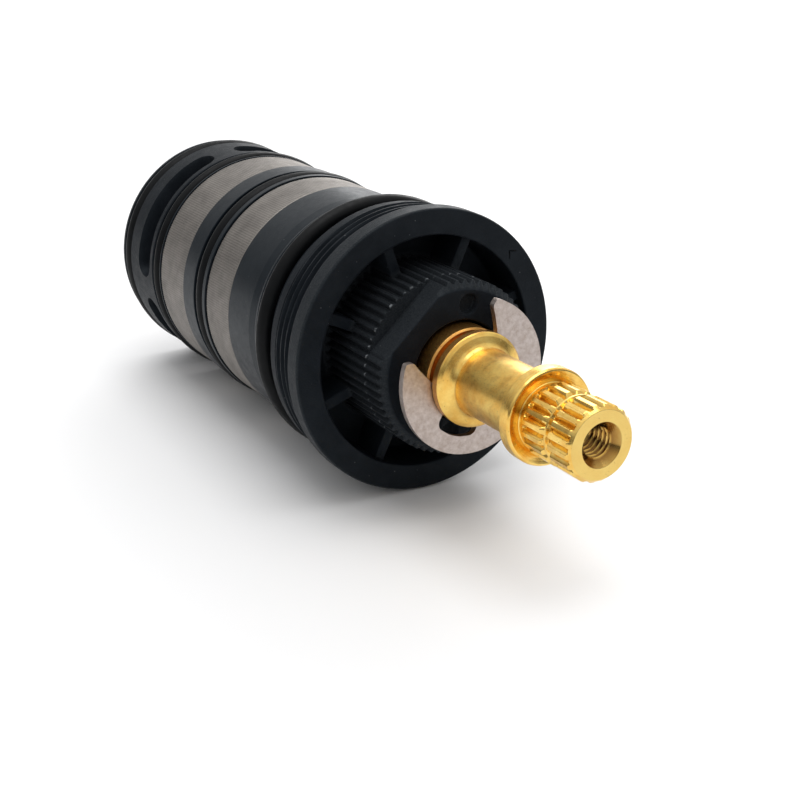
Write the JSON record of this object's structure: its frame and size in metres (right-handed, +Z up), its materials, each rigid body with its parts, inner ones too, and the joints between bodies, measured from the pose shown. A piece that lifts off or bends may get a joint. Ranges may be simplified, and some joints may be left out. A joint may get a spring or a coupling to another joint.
{
  "type": "thermostatic mixing cartridge",
  "caption": "Thermostatic shower cartridge: splined brass spindle, toothed black hub and threaded flange, woven inlet strainers, O-rings, slotted outlet tail.",
  "frame": {"origin": "on the axis, in the plane of the flange's rear face, where it seats on the valve body", "axes": "+Y along the axis towards the outlet tail, the spindle points to -Y, +Z up"},
  "size_m": [0.034, 0.0925, 0.034],
  "materials": {
    "black_plastic": "matte, finely grained, glass-filled",
    "grey_plastic": "satin",
    "white_plastic": "satin",
    "rubber": "smooth, slightly greased",
    "brass": "machined, bright on the splines, satin on the neck",
    "copper": "drawn copper, satin",
    "clip_steel": "matte, tumbled",
    "spring_steel": "drawn wire",
    "mesh_steel": "fine woven wire"
  },
  "bodies": {
    "housing": {"bonnet": "black_plastic", "bonnet_o_ring": "rubber", "thrust_washer": "white_plastic", "body_sleeve": "grey_plastic", "cold_strainer": "mesh_steel", "hot_strainer": "mesh_steel", "middle_o_ring": "rubber", "rear_o_ring": "rubber", "cold_seat": "spring_steel", "hot_seat": "spring_steel", "tail_cage": "black_plastic", "tail_o_ring": "rubber", "spring_seat": "spring_steel"},
    "spindle": {"spindle": "brass", "e_clip": "clip_steel", "spindle_o_ring_front": "rubber", "spindle_o_ring_rear": "rubber"},
    "nut": {"regulating_nut": "brass", "overload_spring": "spring_steel", "nut_retaining_ring": "spring_steel"},
    "cup": {"spring_cup": "spring_steel", "element_piston": "spring_steel"},
    "shuttle": {"shuttle": "white_plastic", "shuttle_seal": "rubber", "element_guide": "brass", "element_bulb": "copper", "return_spring": "spring_steel"}
  },
  "joints": [
    {"name": "temperature_turn", "type": "hinge", "parent": "housing", "child": "spindle", "pos_m": [0, 0, 0], "axis": [0, -1, 0], "range_deg": [-135, 135]},
    {"name": "nut_travel", "type": "slide", "parent": "housing", "child": "nut", "axis": [0, 1, 0], "range_m": [-0.00094, 0.00094]},
    {"name": "overload_travel", "type": "slide", "parent": "nut", "child": "cup", "axis": [0, 1, 0], "range_m": [-0.0015, 0], "stiffness_N_per_m": 1500, "springref_m": 0.002, "deforming": ["overload_spring"]},
    {"name": "shuttle_travel", "type": "slide", "parent": "housing", "child": "shuttle", "axis": [0, 1, 0], "range_m": [-0.001, 0.001], "stiffness_N_per_m": 1500, "deforming": ["return_spring"]}
  ],
  "couplings": [
    {"joint": "temperature_turn", "follows": "nut_travel", "rad_per_m": -2513.3}
  ]
}
